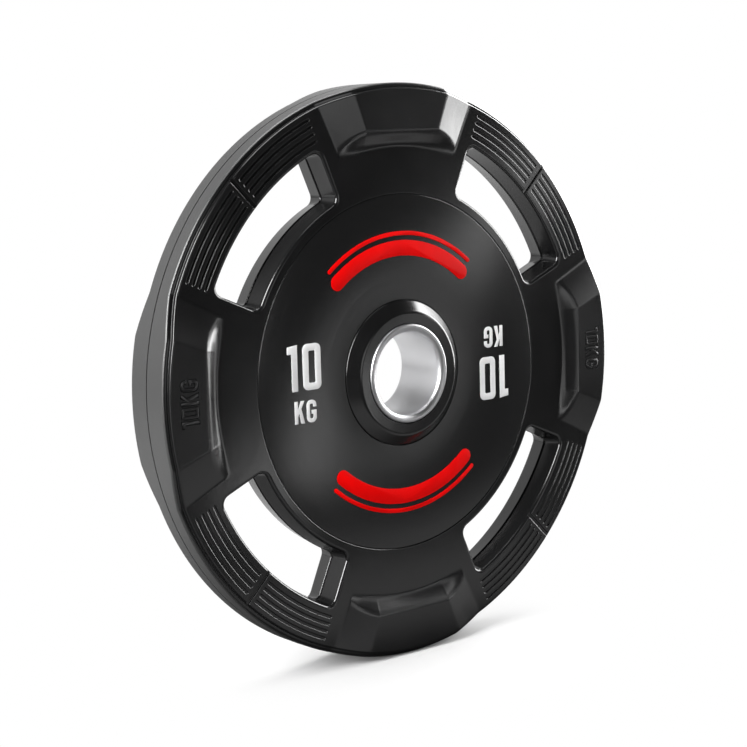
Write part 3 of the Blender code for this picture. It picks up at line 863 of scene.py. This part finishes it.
def print_mark(side, where, name, spin):
    """A character in the box of its node at the front left, turned to its own place."""
    low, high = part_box(f"front_left_{name}")
    stroke = NUMBER_STROKE if name in ("one", "zero") else UNIT_STROKE
    outlines = CHARACTERS[name](high.x - low.x, high.z - low.z, stroke)
    bm = sheet_of(outlines, -high.y, high.y - low.y, PRINT_SOFT)
    bm.transform(Matrix.Rotation(spin, 4, "Z") @ Matrix.Translation((low.x, low.z, 0.0)))
    return finished(bm, f"{side}_{where}_print_{name}", SIDES[side])


white_marks = []
for side in SIDES:
    for where, spin in MARK_SPINS.items():
        for name in CHARACTERS:
            mark = print_mark(side, where, name, spin)
            white_marks.append(place(mark, "white print", f"{side}_{where}_{name}"))
print("white marks:", len(white_marks))

# %% Red stripes
STRIPE_RADIUS = DISC_RADIUS - 0.0328
STRIPE_WIDTH = 0.0095
FINE_STRIPE_WIDTH = 0.0026
STRIPE_SPACING = 0.0030
STRIPE_HALF_ANGLE = math.radians(40.0)
FINE_RADIUS = STRIPE_RADIUS + STRIPE_WIDTH / 2 + STRIPE_SPACING + FINE_STRIPE_WIDTH / 2
STRIPES = {"wide": (STRIPE_RADIUS, STRIPE_WIDTH), "fine": (FINE_RADIUS, FINE_STRIPE_WIDTH)}
stripe_low, stripe_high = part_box("front_top_wide_stripe")

red_marks = []
for side in SIDES:
    for where, direction in (("top", QUARTER), ("bottom", -QUARTER)):
        for name, (radius, width) in STRIPES.items():
            outline = slot_outline(radius, width / 2, direction - STRIPE_HALF_ANGLE,
                                   direction + STRIPE_HALF_ANGLE, arc_steps=48, end_steps=10)
            bm = sheet_of([outline], -stripe_high.y, stripe_high.y - stripe_low.y, PRINT_SOFT)
            stripe = finished(bm, f"{side}_{where}_print_{name}_stripe", SIDES[side])
            red_marks.append(place(stripe, "red print", f"{side}_{where}_{name}_stripe"))
print("red marks:", len(red_marks))

# %% [markdown]
# ## Writing materials as sums
#
# A material is a small calculation that runs at every point of the surface. Wiring it by hand soon
# gets hard to read, so one small class wraps a socket and lets +, - and * add the Math nodes. Every
# other node comes from one method that takes its type, its settings and what goes into its sockets.

# %% Signals
class Signal:
    """One value of a recipe, which can be used in a sum."""

    def __init__(self, recipe, socket):
        self.recipe = recipe
        self.socket = socket

    def __add__(self, other):
        return self.recipe.math("ADD", self, other)

    def __radd__(self, other):
        return self.recipe.math("ADD", other, self)

    def __sub__(self, other):
        return self.recipe.math("SUBTRACT", self, other)

    def __rsub__(self, other):
        return self.recipe.math("SUBTRACT", other, self)

    def __mul__(self, other):
        return self.recipe.math("MULTIPLY", self, other)

    def __rmul__(self, other):
        return self.recipe.math("MULTIPLY", other, self)


# %% Recipes
class Recipe:
    """A node tree that is written as text."""

    def __init__(self, tree):
        self.tree = tree

    def node(self, kind, settings=None, inputs=None, output=0):
        node = self.tree.nodes.new("ShaderNode" + kind)
        settings = dict(settings or {})
        stops = settings.pop("stops", ())
        for name, value in settings.items():
            setattr(node, name, value)
        for i, (position, value) in enumerate(stops):
            element = node.color_ramp.elements[i]
            element.position = position
            element.color = (value, value, value, 1.0)
        for name, value in (inputs or {}).items():
            self.feed(node.inputs[name], value)
        return Signal(self, node.outputs[output])

    def feed(self, socket, value):
        if isinstance(value, Signal):
            self.tree.links.new(value.socket, socket)
        else:
            socket.default_value = value

    def math(self, operation, first, second=0.0):
        return self.node("Math", {"operation": operation}, {0: first, 1: second})

    def point(self):
        """The point on the surface, in the plate's own frame."""
        return self.node("TexCoord", output="Object")

    def depth(self):
        """How far the point lies towards the rear."""
        return self.node("SeparateXYZ", {}, {0: self.point()}, "Y")

    def length(self, stretch):
        """Distance from the origin, after the point is multiplied by stretch."""
        flat = self.node("VectorMath", {"operation": "MULTIPLY"}, {0: self.point(), 1: stretch})
        return self.node("VectorMath", {"operation": "LENGTH"}, {0: flat}, "Value")

    def radius(self):
        """Distance from the plate's axis."""
        return self.length((1.0, 0.0, 1.0))

    def step(self, value, start, end):
        """Rises gently from 0 to 1 between start and end."""
        return self.node("MapRange", {"interpolation_type": "SMOOTHSTEP"},
                         {"Value": value, "From Min": start, "From Max": end})

    def noise(self, scale, detail=3.0, roughness=0.5):
        return self.node("TexNoise", {}, {"Vector": self.point(), "Scale": scale,
                                          "Detail": detail, "Roughness": roughness})

    def ramp(self, value, *stops):
        """A grey for the value, from two stops of (position, grey)."""
        return self.node("ValToRGB", {"stops": stops}, {"Fac": value})

    def blend(self, share, first, second):
        return self.node("Mix", {"data_type": "RGBA"}, {0: share, 6: first, 7: second}, 2)

    def bump(self, height, strength, distance, below=None):
        inputs = {"Height": height, "Strength": strength, "Distance": distance}
        if below:
            inputs["Normal"] = below
        return self.node("Bump", {}, inputs)


# %% A material from a recipe
def material(name, recipe_for, **fixed):
    """A Principled material: fixed values go straight to its sockets, the recipe feeds the rest."""
    made = bpy.data.materials.new(name)
    made.use_nodes = True
    shader = made.node_tree.nodes["Principled BSDF"]
    recipe = Recipe(made.node_tree)
    for socket, value in {**fixed, **recipe_for(recipe)}.items():
        recipe.feed(shader.inputs[socket.replace("_", " ")], value)
    print(name + ":", len(made.node_tree.nodes), "nodes")
    return made


def grey(level, tint=0.0):
    """A grey that is a little bluer by tint."""
    return (level, level, level * (1.0 + tint), 1.0)


# %% [markdown]
# ## Rubber
#
# The moulded rubber is nearly black and has a soft satin gloss. Close up it is never even: the
# mould leaves a very fine grain, broad cloudy patches are a little duller than others, and handling
# leaves pale dust and fine scuffs. The rim rolls on the floor and the pads lie on it, so both are
# duller than the rest. Black surfaces show such things by their gloss, so most of it goes into
# Roughness and only a little into the colour.

# %% Rubber
RUBBER_BLACK, RUBBER_PATCH = grey(0.0034, 0.03), grey(0.0052, 0.03)
DUST_GREY, TREAD_GREY = grey(0.012), grey(0.026)
RUBBER_ROUGHNESS = 0.17
TREAD_STARTS, TREAD_FULL = RIM_RADIUS - 0.0012, RIM_RADIUS - 0.0003
PAD_DULL_STARTS, PAD_DULL_FULL = FACE_HEIGHT + 0.0008, PAD_HEIGHT - 0.0006


def rubber_recipe(r):
    clouds = r.noise(22.0, 4.0, 0.6)
    grain = r.noise(1900.0, 2.0, 0.5)
    pores = r.noise(620.0, 3.0, 0.6)
    dust = r.ramp(r.noise(260.0, 4.0, 0.7), (0.64, 0.0), (0.84, 1.0))
    patch = r.ramp(clouds, (0.30, 0.0), (0.70, 1.0))
    radius = r.radius()
    tread = r.step(radius, TREAD_STARTS, TREAD_FULL)
    raised = (r.step(r.math("ABSOLUTE", r.depth()), PAD_DULL_STARTS, PAD_DULL_FULL)
              * r.step(radius, PAD_FOOT_RADIUS, PAD_TOP_RADIUS))
    dusty = r.blend(dust * 0.10, r.blend(patch, RUBBER_BLACK, RUBBER_PATCH), DUST_GREY)
    scuffed = r.blend(tread * (0.75 + clouds * 0.5), dusty, TREAD_GREY)
    roughness = (RUBBER_ROUGHNESS + patch * 0.04 + dust * 0.02 + (pores - 0.5) * 0.03
                 + tread * 0.18 + raised * 0.06)
    waves = r.bump(r.noise(70.0, 2.0, 0.5), 0.06, 0.0010)
    normal = r.bump(grain, 0.03, 0.00004, r.bump(pores, 0.03, 0.00006, waves))
    return {"Base Color": scuffed, "Roughness": roughness, "Normal": normal}


rubber = material("moulded black rubber", rubber_recipe, IOR=1.5, Specular_IOR_Level=0.5)

# %% [markdown]
# ## The satin disc
#
# The discs are black as well, but their surface is a film with an even grain and no cloudy wear. It
# needs a stronger speckle than the rubber, and very fine rings from turning, which spread the light
# of the lamps a little.

# %% Satin disc
FILM_BLACK, FILM_SPECK = grey(0.0028, 0.02), grey(0.0080, 0.02)
FILM_ROUGHNESS = 0.19


def disc_recipe(r):
    rings = r.node("TexNoise", {"noise_dimensions": "1D"},
                   {"W": r.radius(), "Scale": 5000.0, "Detail": 1.0})
    speckle = r.noise(1500.0, 2.0, 0.6)
    clouds = r.noise(14.0, 3.0, 0.5)
    colour = r.blend(r.ramp(speckle, (0.35, 0.0), (0.70, 1.0)), FILM_BLACK, FILM_SPECK)
    roughness = FILM_ROUGHNESS + (speckle - 0.5) * 0.12 + (clouds - 0.5) * 0.03
    turned_film = r.bump(rings, 0.3, 0.00004)
    return {"Base Color": colour, "Roughness": roughness,
            "Normal": r.bump(speckle, 0.45, 0.00006, turned_film)}


satin = material("satin black film", disc_recipe, IOR=1.5, Specular_IOR_Level=0.5)

# %% [markdown]
# ## Steel, iron and ink
#
# The bush was turned, so its roughness changes in very fine rings, on the lip as well as down the
# bore. The bar keeps the bore bright, and the lip stays darker. The iron of the core stays as it
# left the sand mould. The inks are thin films that take over a little of the disc's grain.

# %% Steel
STEEL_DULL, STEEL_BRIGHT, LIP_GREY = grey(0.54, 0.02), grey(0.64, 0.02), grey(0.26, 0.02)
LIP_STARTS, LIP_FULL = BORE_RADIUS + 0.0004, BORE_RADIUS + 0.0016
STEEL_ROUGHNESS = 0.36


def steel_recipe(r):
    radius = r.radius()
    lines = r.math("SINE", (radius + r.depth()) * 9000.0 + r.noise(60.0) * 6.0)
    smear = r.noise(35.0, 3.0, 0.6)
    lip = r.step(radius, LIP_STARTS, LIP_FULL)
    colour = r.blend(lip * 0.6, r.blend(smear, STEEL_DULL, STEEL_BRIGHT), LIP_GREY)
    roughness = STEEL_ROUGHNESS + lines * 0.03 + (smear - 0.5) * 0.12
    return {"Base Color": colour, "Roughness": roughness, "Normal": r.bump(lines, 0.05, 0.00002)}


steel = material("turned steel", steel_recipe, Metallic=1.0)

# %% Iron
IRON_GREY, RUST = grey(0.16), (0.17, 0.09, 0.05, 1.0)


def iron_recipe(r):
    sand = r.noise(420.0, 5.0, 0.65)
    rust = r.ramp(r.noise(45.0, 4.0, 0.6), (0.55, 0.0), (0.75, 1.0))
    return {"Base Color": r.blend(rust, IRON_GREY, RUST), "Roughness": 0.55 + sand * 0.25,
            "Metallic": 1.0 - rust * 0.6, "Normal": r.bump(sand, 0.5, 0.0004)}


iron = material("rough cast iron", iron_recipe)

# %% Inks
WHITE, WHITE_WORN = grey(0.66), grey(0.62)
RED, RED_WORN = (0.64, 0.0008, 0.0008, 1.0), (0.60, 0.0008, 0.0008, 1.0)
INK_ROUGHNESS = 0.46


def ink_recipe(light, dark):
    """A recipe for an ink of this colour, a little darker where it is worn."""
    def recipe(r):
        speckle = r.noise(2600.0, 2.0, 0.6)
        wear = r.noise(180.0, 4.0, 0.6)
        colour = r.blend(r.ramp(wear, (0.30, 0.0), (0.60, 1.0)), dark, light)
        return {"Base Color": colour, "Roughness": INK_ROUGHNESS + (speckle - 0.5) * 0.16,
                "Normal": r.bump(speckle, 0.10, 0.00005)}
    return recipe


white_ink = material("white ink", ink_recipe(WHITE, WHITE_WORN), Specular_IOR_Level=0.3)
red_ink = material("red ink", ink_recipe(RED, RED_WORN), Specular_IOR_Level=0.03)

# %% Give every piece its material
def paint(pieces, finish):
    for piece in pieces:
        piece.data.materials.clear()
        piece.data.materials.append(finish)
    print("pieces in", finish.name + ":", len(pieces))


paint([front_cover, rear_cover, *pad_marks], rubber)
paint(discs, satin)
paint([bush], steel)
paint(white_marks, white_ink)
paint(red_marks, red_ink)
for slot in frame["nodes"]["iron_core"].material_slots:
    slot.material = iron

# %% [markdown]
# ## The stage
#
# The plate stands on its rim on a pale floor in front of a white backdrop. The floor runs out so
# far that its end can't be told from the backdrop, and near the plate it keeps the soft shadow. The
# world is white for the camera and behind the plate, and dim in front of it and overhead, as in a
# studio whose lamps point at the backdrop: black rubber only looks black when there is something
# dark for it to mirror. So the floor has two looks as well. To the camera it is pale all over and
# glows, less so in the oval of the shadow. To the plate it is dark, apart from the part behind the
# plate and a strip of painted light a little in front of it. The dark band left between that strip
# and the plate's foot is painted shadow.

# %% Floor
FLOOR_SIZE = 12.0
SHADOW_SHAPE = (1.0, 1.1, 0.0)
SHADOW_RADIUS = 0.03
PALE_RADIUS = 0.15
BACK_FROM = (0.02, 0.30)
# Where the strip of painted light in front of the plate rises and falls, and how strong it is.
PAINTED_LIGHT_FROM = (-0.28, -0.15)
PAINTED_LIGHT_TO = (-0.10, -0.03)
PAINTED_LIGHT_SHARE = 0.5
# The floor's greys: dark, the painted light of the strip, and pale for the camera.
FLOOR_DARK, FLOOR_PAINTED_LIGHT, FLOOR_PALE = grey(0.03), grey(0.40), grey(0.42)
SHADOW_GLOW = 0.05
BACK_GLOW = 0.33


def floor_material():
    made = bpy.data.materials.new("pale floor")
    made.use_nodes = True
    tree = made.node_tree
    r = Recipe(tree)
    tree.nodes.remove(tree.nodes["Principled BSDF"])
    seen = r.node("LightPath", output="Is Camera Ray")
    far = r.step(r.length(SHADOW_SHAPE), SHADOW_RADIUS, PALE_RADIUS)
    depth = r.depth()
    behind = r.step(depth, *BACK_FROM)
    # Painted light: a strip of floor in front of the plate, seen only by the plate. Nearer the
    # plate's foot the floor stays dark, which is painted shadow.
    painted_light_strip = r.step(depth, *PAINTED_LIGHT_FROM) - r.step(depth, *PAINTED_LIGHT_TO)
    mirrored = r.blend(painted_light_strip * PAINTED_LIGHT_SHARE + behind, FLOOR_DARK, FLOOR_PAINTED_LIGHT)
    matte = r.node("BsdfDiffuse", {}, {"Color": r.blend(seen, mirrored, FLOOR_PALE)})
    glow = r.node("Emission", {}, {"Color": grey(1.0), "Strength": 1.0})
    share = (seen * (SHADOW_GLOW + far * (1.0 - SHADOW_GLOW))
             + (1.0 - seen) * behind * BACK_GLOW)
    both = r.node("MixShader", {}, {0: share, 1: matte, 2: glow})
    r.feed(tree.nodes["Material Output"].inputs["Surface"], both)
    return made


bm = bmesh.new()
bmesh.ops.create_grid(bm, x_segments=4, y_segments=4, size=FLOOR_SIZE / 2)
bmesh.ops.translate(bm, verts=bm.verts, vec=(0.0, 0.0, cad_low.z))
floor = finished(bm, "floor")
paint([floor], floor_material())
print("floor: %.0f m wide, at %.1f mm" % (FLOOR_SIZE, 1000 * cad_low.z))

# %% World
BACK_STARTS, BACK_FULL = -0.15, 0.40
FRONT_LEVEL, BACK_LEVEL = 0.03, 0.95
TOP_STARTS, TOP_FULL = 0.35, 0.80
TOP_DIMMED = 0.85


def studio_world():
    world = bpy.data.worlds.new("studio")
    world.use_nodes = True
    bpy.context.scene.world = world
    r = Recipe(world.node_tree)
    seen = r.node("LightPath", output="Is Camera Ray")
    direction = r.node("TexCoord", output="Generated")
    depth = r.node("SeparateXYZ", {}, {0: direction}, "Y")
    behind = FRONT_LEVEL + r.step(depth, BACK_STARTS, BACK_FULL) * (BACK_LEVEL - FRONT_LEVEL)
    height = r.node("SeparateXYZ", {}, {0: direction}, "Z")
    overhead = r.step(height, TOP_STARTS, TOP_FULL)
    level = seen + (1.0 - seen) * behind * (1.0 - TOP_DIMMED * overhead)
    back = world.node_tree.nodes["Background"]
    r.feed(back.inputs["Color"], grey(1.0))
    r.feed(back.inputs["Strength"], level)
    return world


print("world:", len(studio_world().node_tree.nodes), "nodes")

# %% [markdown]
# ## Lamps
#
# Soft boxes are large area lamps. Each is written as a direction seen from the plate: azimuth 0 is
# straight in front, 90 is to its right. The radiance is set instead of the power, because that is
# what a mirror image of the lamp shows. The large boxes light the ramps, the rim and the steel.
# Three narrow strips in one slanted line stand close by, and their image is the soft band across
# the disc.

# %% Soft boxes: azimuth, elevation, distance, width, height, radiance, slant
STRIP_SLANT = 47.5
SOFT_BOXES = {
    "right softbox": (93.0, 14.5, 1.5, 1.46, 1.25, 15.0, 0.0),
    "left softbox": (-77.0, 26.0, 1.6, 0.7, 1.3, 28.0, 0.0),
    "top softbox": (180.0, 80.0, 1.6, 1.0, 1.0, 8.0, 0.0),
    "front panel": (6.0, -3.0, 1.6, 0.75, 0.8, 1.8, 0.0),
    "slanted strip": (37.6, -4.6, 0.440, 0.62, 0.045, 1.35, STRIP_SLANT),
    "lower end of the strip": (27.6, -15.1, 0.461, 0.16, 0.05, 1.9, STRIP_SLANT),
    "upper end of the strip": (54.7, 13.7, 0.472, 0.25, 0.05, 1.3, STRIP_SLANT),
}


def toward(azimuth, elevation):
    """A direction in the plate's frame."""
    a, e = math.radians(azimuth), math.radians(elevation)
    return Vector((math.sin(a) * math.cos(e), -math.cos(a) * math.cos(e), math.sin(e)))


def softbox(name, azimuth, elevation, distance, width, height, radiance, slant):
    lamp = bpy.data.lights.new(name, "AREA")
    lamp.shape = "RECTANGLE"
    lamp.size = width
    lamp.size_y = height
    lamp.energy = radiance * math.pi * width * height
    box = bpy.data.objects.new(name, lamp)
    direction = toward(azimuth, elevation)
    box.location = direction * distance
    turn = Matrix.Rotation(math.radians(slant), 3, "Z")
    box.rotation_euler = (direction.to_track_quat("Z", "Y").to_matrix() @ turn).to_euler()
    box.visible_camera = False
    bpy.context.scene.collection.objects.link(box)


for name, facts in SOFT_BOXES.items():
    softbox(name, *facts)
print("lamps:", len(SOFT_BOXES))

# %% [markdown]
# ## The camera
#
# The camera stands to the left of the front, a little above the hub, and rolled by a degree and a
# half. Its distance and focal length come from fitting the circles of the plate to their ellipses.

# %% Camera
CAMERA_AZIMUTH = -40.05
CAMERA_ELEVATION = 7.77
CAMERA_ROLL = math.radians(-1.57)
CAMERA_DISTANCE = 1.09191
AIM_RIGHT = -0.01833
AIM_UP = -0.00009
FOCUS_IN_PIXELS = 1768.73
IMAGE_WIDTH = 747
SENSOR_WIDTH = 36.0
CLIP_START = 0.01


def place_camera():
    """Aims the camera a little beside the middle of the face, and rolls it."""
    up = Vector((0.0, 0.0, 1.0))
    stand_point = CAMERA_DISTANCE * toward(CAMERA_AZIMUTH, CAMERA_ELEVATION)
    right = (-stand_point).cross(up).normalized()
    raised = right.cross(-stand_point).normalized()
    view = (right * AIM_RIGHT + raised * AIM_UP - stand_point).normalized()
    right = view.cross(up).normalized()
    raised = right.cross(view)
    rolled_right = right * math.cos(CAMERA_ROLL) + raised * math.sin(CAMERA_ROLL)
    rolled_up = raised * math.cos(CAMERA_ROLL) - right * math.sin(CAMERA_ROLL)
    matrix = Matrix((rolled_right, rolled_up, -view)).transposed().to_4x4()
    matrix.translation = stand_point - Vector((0.0, FACE_HEIGHT, 0.0))
    lens = bpy.data.cameras.new("camera")
    lens.sensor_width = SENSOR_WIDTH
    lens.lens = FOCUS_IN_PIXELS * SENSOR_WIDTH / IMAGE_WIDTH
    lens.clip_start = CLIP_START
    camera = bpy.data.objects.new("camera", lens)
    camera.matrix_world = matrix
    bpy.context.scene.collection.objects.link(camera)
    bpy.context.scene.camera = camera
    return lens


print("lens: %.1f mm" % place_camera().lens)
bpy.context.scene.view_settings.view_transform = "Standard"

# %% [markdown]
# ## The CAD box once more
#
# The CAD box is printed once more, in millimetres. The dressed plate has to stay inside the CAD
# box.

# %% Sizes and finish
print("CAD box   ", [round(1000 * v, 2) for v in (*cad_low, *cad_high)])
